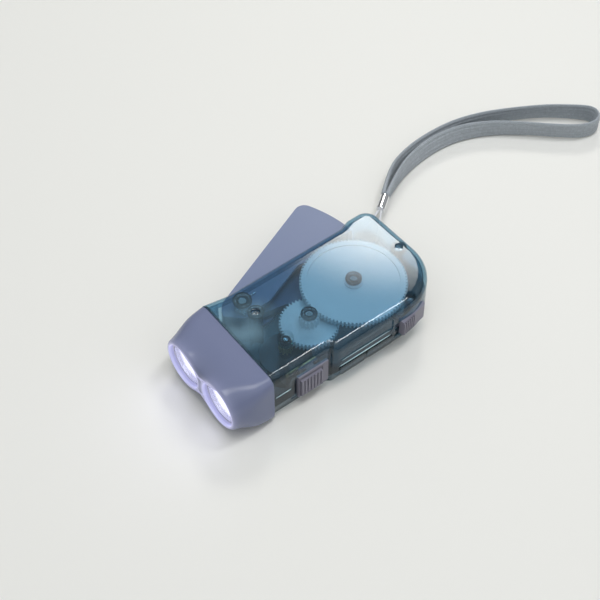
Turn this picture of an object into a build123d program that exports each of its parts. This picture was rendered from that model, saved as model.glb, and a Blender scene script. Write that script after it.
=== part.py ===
"""Squeeze-lever dynamo torch, lying flat on its lower shell.

Millimetres. +X points out of the lamps, +Y to the side with the two sliders, -Y to the side with the
lever, +Z up. The origin is on the bottom face, straight below the axle of the large gear.
"""
from build123d import *
from math import acos, asin, atan2, cos, degrees, hypot, pi, radians, sin, sqrt, tan
import os

os.makedirs("parts", exist_ok=True)

# Fits and overruns
cut_over = 5.0            # how far every cutting tool runs past what it cuts
pin_play = 0.05           # radial clearance of a pin or shaft in its bore
part_gap = 0.3            # gap between pieces that only pass each other
seat_gap = 0.02           # clearance of a piece that is pushed into its seat

# Case
case_height = 27.0
case_front = 57.0         # axle of the large gear to the joint with the head
case_tail = 31.5          # the same axle to the tail, where its sides meet before they are rounded
far_side = 25.0           # lever side
near_side = 24.4          # slider side
far_front_flare = 2.0     # how much wider the lever side is at the head
far_flare_run = 11.0
switch_inset = 3.2        # the slider side is stepped in beside the light switch
switch_step_at = 27.6
switch_step_run = 1.7
tail_bump = 1.9           # the lever side swells where the lever's pocket ends
tail_bump_at = 12.5
tail_bump_run = 5.0
tail_square = 2.2         # how far the tail's far corner lies ahead of its near one
wall = 1.6
top_round = 4.0
top_round_inside = 1.6
bottom_round = 1.5
tuck_high = 7.6           # below this height the slider side slopes in
tuck_switch = 1.8         # how far it has come in at the bottom, beside the light switch
tuck_side = 3.8           # and beside the lever lock
tuck_tail = 2.6
parting_height = 13.5
corner_soft = 3.4
corner_tail_far = 6.5
corner_tail_near = 21.5
corner_flare = 20.0
corner_inside = 1.5
spigot_inset = 1.9
spigot_length = 3.5
spigot_wall = 1.3
spigot_corner = 5.0
side_panel_depth = 0.5
side_panel_rear = -1.5
side_panel_front = 25.8
side_panel_low = 16.2
side_panel_top = 20.6           # at the step
side_panel_rise = 1.8           # how much higher it is at the rear
rail_thick = 0.5
rail_low = 7.9
rail_below_joint = 0.7
rail_spans = [(-1.2, 12.2), (13.2, 26.2)]

# Axle places, seen from above
mid_axle_angle = 7.4      # degrees from +X, from the drive axle
rotor_angle = 11.9        # degrees from +X, from the middle axle
pivot_x = 43.0
pivot_y = -18.5
screw_front = (42.3, -10.2)
screw_tail = (-25.1, -1.3)
screw_side = (-12.9, 21.1)

# Gears
gear_module = 0.5
big_teeth = 88
mid_pinion_teeth = 15
mid_teeth = 48
rotor_pinion_teeth = 10
sector_module = 0.8
sector_full_teeth = 107
sector_cut_teeth = 10
drive_pinion_teeth = 10
pressure_angle = 20.0
tip_share = 0.8           # tooth tip above the pitch circle, as a share of the module
root_share = 1.05         # tooth root below it
backlash = 0.06           # taken from the half tooth thickness, at the pitch circle
flank_steps = 2           # straight pieces that make each flank of a wheel
pinion_flank_steps = 4    # and of a pinion
clutch_teeth = 3
clutch_tooth_angle = 54.0 # degrees that each clutch tooth fills
clutch_shift = 57.0       # degrees from the teeth of one half to those of the other
skirt_wall = 0.2          # how much further out than the clutch its skirt reaches
big_gear_thick = 2.2
big_gear_top_gap = 1.0
big_rim_width = 2.6
big_web_drop = 0.7
mid_gear_below = 1.8      # gap between the middle gear and the large one above it
mid_gear_thick = 2.6
sector_low = 9.0
sector_thick = 3.5
drive_pinion_low = 8.2
drive_pinion_height = 5.4

# Axles, bosses and screws
drive_axle_radius = 1.2
mid_axle_radius = 1.0
lever_pin_radius = 1.5
rotor_shaft_radius = 0.8
pin_seat = 0.4            # how far each pin goes into the floor and the ceiling
drive_boss_radius = 3.0
drive_boss_top = 7.6
mid_boss_radius = 2.2
mid_boss_top = 14.0
top_boss_radius = 3.1
top_boss_drop = 0.6
pivot_boss_radius = 3.2
pivot_boss_top = 4.9
pivot_top_boss_radius = 2.4
pivot_top_boss_drop = 4.2 # how far it hangs from the ceiling
screw_post_radius = 2.3
screw_front_post_radius = 2.9
screw_head_radius = 1.7
screw_head_thick = 1.3
screw_head_depth = 1.7    # top of the head below the case top
screw_side_head_depth = 4.2
screw_shank_radius = 0.95
screw_length = 15.0
screw_hole_radius = 1.2
screw_well_radius = 1.85
screw_slot_width = 0.5
screw_slot_depth = 0.5
screw_slot_reach = 1.13

# Lever, drawn closed about its pivot, then opened
lever_open_angle = 22.3
lever_low = 5.2
lever_drop = 6.2          # top of the lever below the case's top
lever_skin = 1.8
lever_plate = 1.7
lever_side_offset = 8.6
lever_tip_reach = 61.8
lever_tip_start = 162.8   # degrees, inner end of the tip
lever_tip_corner = 4.5
lever_hub_radius = 5.0
lever_hub_back = 30.0     # degrees from the waist to where the hub begins
lever_hub_top = 60.0      # degrees, a point of the hub between its waist and its nose
lever_skirt_end = 330.0   # degrees, where the skirt round the pivot ends
lever_nose_angle = 10.0
lever_waist = (9.0, 7.5)  # behind and inside of the pivot
# The inner corners of its plates from the tip to the waist, each behind and inside of the pivot
lever_inner_corners = [(49.0, 13.4), (39.0, 13.4), (31.0, 8.0), lever_waist]
slot_gap = 0.4
slot_front = 51.0
slot_rear = 19.9
rim_inner = 37.5
rim_start = 127.5         # degrees
rim_steps = 3             # straight pieces of the rim between its last tooth and the skin
web_start = 136.0         # degrees
web_inner = 20.0
spring_wire = 0.6
spring_radius = 3.1
spring_turns = 3.25
spring_pitch = 1.05
spring_leg_low = 9.0      # over the lever's plate
spring_leg_high = 6.5     # beside the front screw's post
spring_turned = 270.0     # degrees, where the wire starts round the pin

# Generator
rotor_reach = 10.8        # flywheel radius
flywheel_thick = 1.8
flywheel_low = 11.6
flywheel_hub_radius = 2.4
pinion_overlap = 0.6      # how far the rotor's pinion stands above the middle gear
pinion_below = 1.2        # and starts below it
magnet_inner = 9.3
magnet_wall = 1.2
magnet_low = 4.4
claw_disc_radius = 8.8
claw_thick = 0.8
claw_count = 6
claw_width = 2.6
claw_overlap = 5.4
bobbin_flange_radius = 7.4
bobbin_core_radius = 2.6
bobbin_flange = 0.7
bobbin_height = 6.0
coil_radius = 6.8
stator_low = 3.4
shaft_hole = 1.6
bush_radius = 2.2
bush_length = 1.6
bush_seat_wall = 1.1
rotor_top_post_drop = 3.8 # how far it hangs from the ceiling
rotor_shaft_drop = 1.8    # the shaft's end below the ceiling

# Head, lenses and lamps
head_length = 19.5
head_wall = 1.8
lobe_radius = 11.7
lobe_mid = -1.9           # Y halfway between the two lamps
lamp_height = 13.9
# The head's outline at four places: X ahead of the case, how far it lies inside the case's lever side,
# slider side, bottom and top, and the radius of its corners
head_sections = [
    (0.0, 0.0, -1.2, 0.0, 0.0, 4.0),
    (6.5, 0.0, -1.7, 0.2, 0.2, 4.6),
    (13.0, 0.4, -1.7, 0.7, 0.4, 7.0),
    (19.5, 1.7, -0.3, 2.2, 1.4, 11.4),
]
waist_radius = 6.5        # of the groove between the two lamps, at the front
waist_height = 21.6       # bottom of the upper groove at the front
waist_run = 9.0           # how far back the groove reaches
head_collar_corner = 3.0
lamp_bore = 9.9
lamp_play = 0.2
lens_thick = 1.2
lens_recess = 1.1
reflector_skin = 0.8
reflector_length = 10.4
reflector_throat = 2.75
reflector_bend_at = 0.35  # a point of the bowl: share of its length
reflector_bend_reach = 0.66     # and share of its radius
reflector_back_at = 0.3   # share of its length for the outside
led_radius = 2.5
led_flange_radius = 2.85
led_flange_thick = 1.0
led_body_length = 5.0
board_thick = 1.2
board_gap = 0.5
board_margin = 4.2
cell_radius = 5.0
cell_thick = 3.2
rectifier_size = (2.0, 5.0, 4.0)
rectifier_side = 13.0

# Sliders
switch_plate = (15.0, 13.2)     # along X, and high
switch_plate_thick = 1.4
switch_plate_low = 4.8
switch_rest_rear = 29.8         # X of its rear edge, lit
switch_travel = 2.8
switch_pocket_depth = 1.0
switch_rib_block = (10.4, 10.0)
switch_rib_rise = 0.8
switch_rib_count = 7
switch_rib_width = 0.7
switch_rib_height = 0.5
switch_frame = 0.9
switch_groove = 0.35
switch_pad = 1.0
stem_low = 14.9
stem_high = 17.2
stem_length = 4.0
carrier_thick = 1.2
carrier_length = 9.0
contact_thick = 0.3
contact_length = 6.0
switch_board_thick = 0.8
switch_board_length = 15.0
board_rib_length = 2.2
lock_turn = 10.4                # degrees, how far its way is turned from X to follow the tail's corner
lock_plate = (14.0, 8.4)
lock_plate_thick = 2.4
lock_low = 9.6
lock_rest_front = 7.2           # ahead of the point where its way touches the case
lock_travel = 3.0
lock_pocket_depth = 1.9
lock_floor = 1.0                # wall left behind the pocket
lock_rib_count = 6
lock_rib_width = 0.6
lock_rib_height = 0.6
lock_rib_run = 6.8              # the ribs cover its front part only
lock_stem_length = 2.0
lock_stem_high = 16.0
lock_stem_low = 12.2
lock_bar_reach = 13.0
lock_bar_thick = 1.6
lock_stem_back = 2.9

# Wires
wire_radius = 0.45
wire_pitch = 1.4
wire_rise = 5.5           # height at which the coil's wires meet the board
bend_share = 0.45         # of the shorter run beside it, that each bend of a wire or cord fills

# Wrist strap: string, crimp and webbing
string_radius = 0.5
eyelet_radius = 0.8
crimp_radius = 2.1
crimp_length = 8.5
crimp_height = 5.6
crimp_soft = 0.35
tape_width = 10.0
tape_thick = 1.3
tape_lift = 0.4
crimp_tail = (-44.0, -35.4)     # end of the crimp that faces the case
crimp_turn = 36.0               # degrees, away from -X
# Route of the webbing seen from above, out along one strand and back along the other
tape_route = [
    (-51.34, -39.83), (-60.5, -45.2), (-74.0, -50.2), (-89.0, -52.0), (-103.0, -50.3), (-117.0, -43.6),
    (-129.5, -33.3), (-140.5, -22.8), (-149.5, -15.6), (-158.0, -15.0), (-160.6, -21.4),
    (-153.8, -28.4), (-143.0, -37.2), (-130.0, -44.6), (-117.0, -50.6), (-102.5, -54.4),
    (-87.5, -55.0), (-72.5, -53.4), (-60.5, -49.6), (-50.34, -41.23),
]
# Route of the string, from the crimp through the tail's two eyelets and back
string_route = [
    (-44.2, -34.8, 5.9), (-37.5, -28.6, 7.4), (-31.6, -22.6, 9.0), (-26.4, -19.0, 9.0),
    (-22.6, -23.0, 9.0), (-27.2, -28.6, 9.0), (-35.0, -31.6, 7.4), (-43.5, -35.9, 5.4),
]

# Worked out from the sizes above
gear_top = case_height - wall - big_gear_top_gap
gear_low = gear_top - big_gear_thick
mid_gear_high = gear_low - mid_gear_below
mid_gear_low = mid_gear_high - mid_gear_thick
flywheel_hub_top = mid_gear_low - pinion_below
rotor_pinion_top = mid_gear_high + pinion_overlap
lever_high = case_height - lever_drop
pivot_top_boss_low = case_height - wall - pivot_top_boss_drop
rotor_top_post_low = case_height - wall - rotor_top_post_drop
rotor_shaft_top = case_height - wall - rotor_shaft_drop
mid_distance = gear_module * (big_teeth + mid_pinion_teeth) / 2
mid_x = mid_distance * cos(radians(mid_axle_angle))
mid_y = mid_distance * sin(radians(mid_axle_angle))
rotor_distance = gear_module * (mid_teeth + rotor_pinion_teeth) / 2
rotor_x = mid_x + rotor_distance * cos(radians(rotor_angle))
rotor_y = mid_y + rotor_distance * sin(radians(rotor_angle))
drive_angle = degrees(atan2(-pivot_y, -pivot_x))
ceiling = case_height - wall
switch_side = near_side - switch_inset
far_front = far_side + far_front_flare
head_front = case_front + head_length
lamp_sides = {"far": lobe_mid - lobe_radius, "near": lobe_mid + lobe_radius}
lens_front = head_front - lens_recess
lens_back = lens_front - lens_thick
reflector_back = lens_back - reflector_length
board_rear = case_front + spigot_length + board_gap
board_front = board_rear + board_thick


def prism(points, low, high, radii=0.0):
    """An upright prism on a closed outline, with its corners rounded where radii says so."""
    if radii == 0.0:
        edges = Polyline(*points, close=True)
    else:
        edges = FilletPolyline(*points, radius=radii, close=True)
    return Pos(0, 0, low) * extrude(make_face(edges), high - low, dir=(0, 0, 1))


def rod(radius, low, high, x=0.0, y=0.0):
    """An upright cylinder between two heights."""
    return Pos(x, y, low) * Cylinder(radius, high - low, align=(Align.CENTER, Align.CENTER, Align.MIN))


def tube(outer, inner, low, high, x=0.0, y=0.0):
    """An upright ring between two heights."""
    return rod(outer, low, high, x, y) - rod(inner, low - cut_over, high + cut_over, x, y)


def lying_rod(radius, start, end, y, z):
    """A cylinder along X."""
    return Pos(start, y, z) * Rot(0, 90, 0) * Cylinder(
        radius, end - start, align=(Align.CENTER, Align.CENTER, Align.MIN))


def block(x_span, y_span, z_span):
    """A box between three pairs of coordinates, given in any order."""
    (x0, x1), (y0, y1), (z0, z1) = sorted(x_span), sorted(y_span), sorted(z_span)
    return Pos((x0 + x1) / 2, (y0 + y1) / 2, (z0 + z1) / 2) * Box(x1 - x0, y1 - y0, z1 - z0)


def polar(radius, angle, x=0.0, y=0.0):
    """The point at a radius and an angle in degrees about (x, y)."""
    return (x + radius * cos(radians(angle)), y + radius * sin(radians(angle)))


def tooth_half_angle(radius, pitch_radius, teeth):
    """Half the angle that an involute tooth fills at a radius."""
    base = pitch_radius * cos(radians(pressure_angle))
    at_pitch = tan(radians(pressure_angle)) - radians(pressure_angle)
    roll = acos(min(1.0, base / max(radius, base)))
    half = pi / (2 * teeth) - backlash / pitch_radius
    return half + at_pitch - (tan(roll) - roll)


def tooth_points(teeth, module, centre_angle, steps):
    """The outline of one tooth from its right root to its left root, anticlockwise."""
    pitch_radius = teeth * module / 2
    tip = pitch_radius + tip_share * module
    root = pitch_radius - root_share * module
    radii = [root + (tip - root) * step / steps for step in range(steps + 1)]
    right = [polar(r, centre_angle - degrees(tooth_half_angle(r, pitch_radius, teeth))) for r in radii]
    left = [polar(r, centre_angle + degrees(tooth_half_angle(r, pitch_radius, teeth))) for r in radii]
    return right + left[::-1]


def gear_disc(teeth, module, low, high, first_tooth, steps=flank_steps):
    """A spur gear with one tooth centred on the angle first_tooth."""
    outline = []
    for number in range(teeth):
        outline += tooth_points(teeth, module, first_tooth + number * 360 / teeth, steps)
    return prism(outline, low, high)


def case_outline(tucked):
    """The case seen from above, anticlockwise, and the radius of each corner. tucked is 0 for the walls
    and 1 for the bottom, where the slider side has sloped in."""
    switch_line = switch_side - tucked * tuck_switch
    near_line = near_side - tucked * tuck_side
    points = [
        (case_front, -far_front),
        (case_front, switch_line),
        (switch_step_at + switch_step_run, switch_line),
        (switch_step_at, near_line),
        (-case_tail + tucked * tuck_tail, near_line),
        (-case_tail + tail_square, -far_side - tail_bump),
        (-tail_bump_at - tail_bump_run, -far_side - tail_bump),
        (-tail_bump_at, -far_side),
        (case_front - far_flare_run, -far_side),
    ]
    radii = [0.0, 0.0, corner_inside, corner_soft, corner_tail_near, corner_tail_far, corner_soft,
             corner_soft, corner_flare]
    return points, radii


def drawn_in(points, radii, inset):
    """A closed anticlockwise outline moved inwards: every corner and its radius."""
    corners, bends = [], []
    neighbours = zip(points[-1:] + points[:-1], points, points[1:] + points[:1], radii)
    for before, here, after, radius in neighbours:
        run_in = Vector(here[0] - before[0], here[1] - before[1], 0).normalized()
        run_out = Vector(after[0] - here[0], after[1] - here[1], 0).normalized()
        both = Vector(-run_in.Y - run_out.Y, run_in.X + run_out.X, 0)
        moved = Vector(*here, 0) + both * (inset / (1 + run_in.dot(run_out)))
        corners.append((moved.X, moved.Y))
        convex = run_in.cross(run_out).Z > 0
        bends.append(0.0 if radius == 0.0 else radius - inset if convex else radius + inset)
    return corners, bends


def case_face(tucked, inset, height):
    """One level outline of the case at a height."""
    corners, bends = drawn_in(*case_outline(tucked), inset)
    return Pos(0, 0, height) * make_face(FilletPolyline(*corners, radius=bends, close=True))


def case_solid(inset):
    """The case's outer form, or with an inset the hollow inside it."""
    walls_face = case_face(0, inset, tuck_high)
    body = extrude(walls_face, case_height - inset - tuck_high, dir=(0, 0, 1))
    body += loft([case_face(1, inset, inset), walls_face], ruled=True)
    around = body.edges().filter_by(lambda e: abs(e.bounding_box().size.Z) < seat_gap)
    long_way = around.filter_by(lambda e: e.center().X < case_front - 2 * inset - seat_gap)
    body = fillet(long_way.group_by(Axis.Z)[-1], top_round if inset == 0 else top_round_inside)
    if inset > 0:
        return body
    around = body.edges().filter_by(lambda e: abs(e.bounding_box().size.Z) < seat_gap)
    long_way = around.filter_by(lambda e: e.center().X < case_front - seat_gap)
    return fillet(long_way.group_by(Axis.Z)[0], bottom_round)


def soft_block(x_span, y_span, z_span, corner):
    """A box along X whose four long edges are rounded."""
    (x0, x1), (y0, y1), (z0, z1) = x_span, y_span, z_span
    plane = Plane(origin=(x0, (y0 + y1) / 2, (z0 + z1) / 2), x_dir=(0, 1, 0), z_dir=(1, 0, 0))
    return extrude(plane * RectangleRounded(y1 - y0, z1 - z0, corner), x1 - x0, dir=(1, 0, 0))


def spigot():
    """The collar in front of the case that the head slides over, and the tunnel through it."""
    low_y, high_y = -far_front + spigot_inset, switch_side - tuck_switch - spigot_wall / 2
    low_z, high_z = spigot_inset, case_height - spigot_inset
    collar = soft_block((case_front - wall, case_front + spigot_length), (low_y, high_y), (low_z, high_z),
                        spigot_corner)
    tunnel = soft_block((case_front - wall - cut_over, case_front + spigot_length + cut_over),
                        (low_y + spigot_wall, high_y - spigot_wall),
                        (low_z + spigot_wall, high_z - spigot_wall), spigot_corner - spigot_wall)
    return collar, tunnel


def screw_places():
    """Each screw: its place, the radius of its posts and the depth of its head."""
    return [
        (*screw_front, screw_front_post_radius, screw_head_depth),
        (*screw_tail, screw_post_radius, screw_head_depth),
        (*screw_side, screw_post_radius, screw_side_head_depth),
    ]


def switch_pocket():
    """The shallow recess that the light switch slides in, and the slot for its stem."""
    long, high = switch_plate
    recess = block((switch_rest_rear - part_gap, switch_rest_rear + long + switch_travel + part_gap),
                   (switch_side - switch_pocket_depth, switch_side + cut_over),
                   (switch_plate_low - part_gap, switch_plate_low + high + part_gap))
    stem_rear = switch_rest_rear + (long - stem_length) / 2
    slot = block((stem_rear - part_gap, stem_rear + stem_length + switch_travel + part_gap),
                 (switch_side - wall - switch_pad - cut_over / 2, switch_side),
                 (stem_low - part_gap, stem_high + part_gap))
    return recess, slot


def lock_frame():
    """The lever lock's own frame: X along its way, Y out of the case, from where it touches the corner."""
    points, radii = case_outline(0)
    run = Vector(points[5][0] - points[4][0], points[5][1] - points[4][1], 0)
    half_corner = radians(run.get_angle(Vector(1, 0, 0)) / 2)
    middle_x = points[4][0] + corner_tail_near / tan(half_corner)
    touch = polar(corner_tail_near, 90 + lock_turn, middle_x, near_side - corner_tail_near)
    return Pos(*touch, 0) * Rot(0, 0, lock_turn)


def lock_pocket():
    """The recess that the lever lock slides in, and the slot for its stem."""
    long, high = lock_plate
    recess = block((lock_rest_front - long - part_gap, lock_rest_front + lock_travel + part_gap),
                   (-lock_pocket_depth, cut_over), (lock_low - part_gap, lock_low + high + part_gap))
    stem_rear = lock_rest_front - lock_stem_back
    slot = block((stem_rear - part_gap, stem_rear + lock_stem_length + lock_travel + part_gap),
                 (-lock_pocket_depth - lock_floor - part_gap, 0),
                 (lock_stem_low - part_gap, lock_stem_high + part_gap))
    return lock_frame() * recess, lock_frame() * slot


def slider_pads():
    """The thicker wall behind each slider's pocket."""
    long, high = switch_plate
    switch_pad_block = block((switch_rest_rear - wall, switch_rest_rear + long + switch_travel + wall),
                             (switch_side - wall - switch_pad, switch_side),
                             (switch_plate_low - wall, switch_plate_low + high + wall))
    long, high = lock_plate
    lock_pad_block = block((lock_rest_front - long - lock_floor, lock_rest_front + lock_travel + lock_floor),
                           (-lock_pocket_depth - lock_floor, 0), (lock_low - wall, lock_low + high + wall))
    return switch_pad_block + lock_frame() * lock_pad_block


def side_relief():
    """The shallow wedge-shaped panel over the joint, to cut, and the two raised rails under it, to add."""
    panel = prism([(side_panel_rear, side_panel_low), (side_panel_front, side_panel_low),
                   (side_panel_front, side_panel_top), (side_panel_rear, side_panel_top + side_panel_rise)],
                  -cut_over, side_panel_depth)
    rails = []
    for rear, front in rail_spans:
        high = parting_height - rail_below_joint
        rails.append(prism([(rear, rail_low), (front, rail_low), (front, high), (rear, high)],
                           -rail_thick, wall / 2,
                           radii=[corner_inside, corner_inside, rail_thick, rail_thick]))
    upright = Pos(0, near_side, 0) * Rot(90, 0, 0)
    return upright * panel, upright * Compound(children=rails)


def case_walls(outer):
    """Both shells in one, before they part: walls, collar, pads, recesses and the lever's slot."""
    collar, tunnel = spigot()
    walls = outer - case_solid(wall) + collar - tunnel
    walls += slider_pads() & outer
    walls -= block((-slot_rear, slot_front), (-far_side - cut_over, -far_side + wall + part_gap),
                   (lever_low - slot_gap, lever_high + slot_gap))
    panel, rails = side_relief()
    walls = walls - panel + rails
    for cutter in (*switch_pocket(), *lock_pocket()):
        walls -= cutter
    return walls - wire_tube(string_route, eyelet_radius)


def upper_shell(walls):
    """The top half: bosses over each axle, screw posts and the post that holds the rotor's top bush."""
    shell = walls & block((-case_tail - cut_over, head_front), (-far_front - cut_over, near_side + cut_over),
                          (parting_height, case_height + cut_over))
    shell += rod(top_boss_radius, ceiling - top_boss_drop, ceiling)
    shell += rod(top_boss_radius, ceiling - top_boss_drop, ceiling, mid_x, mid_y)
    shell += rod(pivot_top_boss_radius, pivot_top_boss_low, ceiling, pivot_x, pivot_y)
    shell += rod(bush_radius + bush_seat_wall, rotor_top_post_low, ceiling, rotor_x, rotor_y)
    shell -= rod(bush_radius + seat_gap, rotor_top_post_low - cut_over,
                 rotor_top_post_low + bush_length, rotor_x, rotor_y)
    shell -= rod(rotor_shaft_radius + part_gap, rotor_top_post_low, rotor_shaft_top + part_gap,
                 rotor_x, rotor_y)
    rib_rear = switch_board_rear() + switch_board_length
    shell += block((rib_rear, rib_rear + board_rib_length),
                   (switch_board_near() - switch_board_thick, switch_side - wall / 2), (stem_low, ceiling))
    for x, y, post, head_depth in screw_places():
        shell += rod(post, parting_height, ceiling, x, y)
        shell -= rod(screw_well_radius, case_height - head_depth - screw_head_thick,
                     case_height + cut_over, x, y)
        shell -= rod(screw_hole_radius, 0, case_height, x, y)
    for radius, x, y in ((drive_axle_radius, 0, 0), (mid_axle_radius, mid_x, mid_y),
                         (lever_pin_radius, pivot_x, pivot_y)):
        shell -= rod(radius + seat_gap, parting_height, ceiling + pin_seat, x, y)
    for cutter in lock_pocket():
        shell -= cutter
    return shell


def lower_shell(walls, outer):
    """The bottom half: floor bosses for each axle and posts for the screws."""
    shell = walls & block((-case_tail - cut_over, head_front), (-far_front - cut_over, near_side + cut_over),
                          (-cut_over, parting_height))
    shell += rod(drive_boss_radius, wall, drive_boss_top)
    shell += rod(pivot_boss_radius, wall, pivot_boss_top, pivot_x, pivot_y)
    shell += rod(mid_boss_radius, wall, mid_boss_top, mid_x, mid_y)
    shell += tube(bush_radius + bush_seat_wall, bush_radius + seat_gap, wall, stator_low,
                  rotor_x, rotor_y)
    for x, y, post, head_depth in screw_places():
        shell += rod(post, wall, parting_height, x, y) & outer
        shell -= rod(screw_shank_radius + seat_gap,
                     case_height - head_depth - screw_head_thick - screw_length,
                     case_height, x, y)
    for radius, x, y in ((drive_axle_radius, 0, 0), (mid_axle_radius, mid_x, mid_y),
                         (lever_pin_radius, pivot_x, pivot_y)):
        shell -= rod(radius + seat_gap, wall - pin_seat, parting_height + cut_over, x, y)
    for cutter in lock_pocket():
        shell -= cutter
    return shell


def case_screws():
    """Three round-headed screws with a cross slot."""
    screws = []
    for x, y, post, head_depth in screw_places():
        top = case_height - head_depth
        low = top - screw_head_thick
        screw = rod(screw_head_radius, low, top, x, y)
        screw += rod(screw_shank_radius, low - screw_length, low, x, y)
        rim = screw.edges().group_by(Axis.Z)[-1]
        screw = fillet(rim, screw_slot_depth / 2)
        half = screw_slot_width / 2
        for along, across in ((screw_slot_reach, half), (half, screw_slot_reach)):
            screw -= block((x - along, x + along), (y - across, y + across),
                           (top - screw_slot_depth, top + cut_over))
        screws.append(screw)
    return Compound(children=screws)


def lever_profile(margin=0.0):
    """The lever's plates from above, closed, with the pivot at the origin."""
    side = lever_side_offset - margin
    reach = lever_tip_reach - margin
    waist_angle = 180 - degrees(asin(lever_waist[1] / hypot(*lever_waist)))
    hub_start = polar(lever_hub_radius, waist_angle - lever_hub_back)
    nose = polar(lever_hub_radius, lever_nose_angle)
    tip_low = (-sqrt(reach ** 2 - side ** 2), -side)
    tip_high = polar(reach, lever_tip_start)
    edges = [
        Line((0, -side), tip_low),
        ThreePointArc(tip_low, polar(reach, (180 + lever_tip_start) / 2), tip_high),
        Polyline(tip_high, *[(-behind, inside) for behind, inside in lever_inner_corners], hub_start),
        ThreePointArc(hub_start, polar(lever_hub_radius, lever_hub_top), nose),
        Line(nose, polar(side, lever_skirt_end)),
        ThreePointArc(polar(side, lever_skirt_end), polar(side, (lever_skirt_end + 270) / 2), (0, -side)),
    ]
    return edges


def lever_handle():
    """The moulded handle: two plates, the outer skin, the tip wall and the hub, open towards the gears."""
    face = make_face(Wire(Curve() + lever_profile()))
    body = Pos(0, 0, lever_low) * extrude(face, lever_high - lever_low, dir=(0, 0, 1))
    tip_corner = body.edges().filter_by(Axis.Z).sort_by(
        lambda e: (e.center().X + lever_tip_reach) ** 2 + (e.center().Y + lever_side_offset) ** 2)[0]
    body = fillet(tip_corner, lever_tip_corner)
    inner_side = lever_side_offset - lever_skin
    inner_reach = lever_tip_reach - lever_skin
    outer_corner = 180 + degrees(asin(inner_side / inner_reach))
    pocket = [(-lever_hub_radius, -inner_side), polar(inner_reach, outer_corner),
              polar(inner_reach, 180), polar(inner_reach, lever_tip_start),
              polar(inner_reach, lever_tip_start - 2 * lever_nose_angle),
              (-lever_hub_radius, lever_tip_reach / 2)]
    body -= prism(pocket, lever_low + lever_plate, lever_high - lever_plate,
                  radii=[lever_skin / 2, lever_tip_corner - lever_skin, 0, 0, 0, 0])
    return body + rod(lever_hub_radius, lever_low, lever_high)


def lever_sector():
    """The fan behind the pivot with its toothed rim, closed."""
    pitch_radius = sector_module * sector_full_teeth / 2
    root = pitch_radius - root_share * sector_module
    outline = [polar(rim_inner, rim_start), polar(root, rim_start)]
    tooth_step = 360 / sector_full_teeth
    first = drive_angle - lever_open_angle - tooth_step
    for number in range(sector_cut_teeth):
        outline += tooth_points(sector_full_teeth, sector_module, first + number * tooth_step, flank_steps)
    start = first + sector_cut_teeth * tooth_step
    end = 180 + degrees(asin((lever_side_offset - lever_skin / 2) / root))
    for step in range(1, rim_steps + 1):
        outline.append(polar(root, start + (end - start) * step / rim_steps))
    outline += [(0, -lever_side_offset + lever_skin / 2), (0, lever_hub_radius / 2)]
    web_end = web_start + lever_nose_angle
    outline += [polar(lever_hub_radius, web_end), polar(web_inner, web_end),
                polar(rim_inner, web_start), polar(rim_inner, (web_start + rim_start) / 2)]
    return prism(outline, sector_low, sector_low + sector_thick)


def squeeze_lever():
    """Handle and toothed sector in one moulding, swung open about the lever pin."""
    lever = lever_handle() + lever_sector()
    lever -= rod(lever_pin_radius + pin_play, -cut_over, case_height + cut_over)
    return Pos(pivot_x, pivot_y, 0) * Rot(0, 0, lever_open_angle) * lever


def lever_spring():
    """A torsion spring round the top boss: one leg beside the screw post, one over the lever."""
    route = Helix(spring_pitch, spring_pitch * spring_turns, spring_radius)
    coil = sweep(Plane(origin=route @ 0, z_dir=route % 0) * Circle(spring_wire / 2), path=route)
    for place, length in ((0, -spring_leg_low), (1, spring_leg_high)):
        level = Vector((route % place).X, (route % place).Y, 0)
        ring = Plane(origin=route @ place, z_dir=route % place) * Circle(spring_wire / 2)
        coil += extrude(ring, abs(length), dir=level * (-1 if length < 0 else 1))
    return Pos(pivot_x, pivot_y, lever_high + part_gap + spring_wire / 2) * Rot(0, 0, spring_turned) * coil


def drive_pinion():
    """Pinion in mesh with the sector, with the saw-tooth crown of the one-way clutch on top."""
    first = drive_angle + 180 + 180 / drive_pinion_teeth
    high = drive_pinion_low + drive_pinion_height
    pinion = gear_disc(drive_pinion_teeth, sector_module, drive_pinion_low, high, first,
                       pinion_flank_steps)
    crown = clutch_crown(high, high + sector_module)
    return pinion + crown - rod(drive_axle_radius + pin_play, 0, case_height)


def clutch_radius():
    """Outer radius of both halves of the one-way clutch."""
    return (drive_pinion_teeth / 2 - root_share) * sector_module


def clutch_crown(low, high, shift=0.0):
    """The raised teeth of the face clutch between two heights."""
    crown = rod(clutch_radius(), low, high)
    teeth = []
    for number in range(clutch_teeth):
        start = shift + number * 360 / clutch_teeth
        angles = (start, start + clutch_tooth_angle / 2, start + clutch_tooth_angle)
        teeth.append(prism([(0, 0), *[polar(2 * clutch_radius(), angle) for angle in angles]], low, high))
    return crown & Compound(children=teeth)


def clutch_dog():
    """The half of the clutch that turns the large gear; it slides in the gear's skirt."""
    low = drive_pinion_low + drive_pinion_height
    base_low = low + sector_module + seat_gap
    base_high = base_low + 2 * sector_module
    dog = rod(clutch_radius(), base_low, base_high) + clutch_crown(low + seat_gap, base_low, clutch_shift)
    dog += rod(clutch_radius() - sector_module, base_high, mid_gear_low + sector_module)
    return dog - rod(drive_axle_radius + pin_play, 0, case_height)


def clutch_spring():
    """The light spring that keeps the clutch closed, as its plain outer form."""
    low = mid_gear_low + sector_module + seat_gap
    outer = clutch_radius() - sector_module - part_gap / 2
    return tube(outer, drive_axle_radius + part_gap, low, gear_low - seat_gap)


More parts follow.
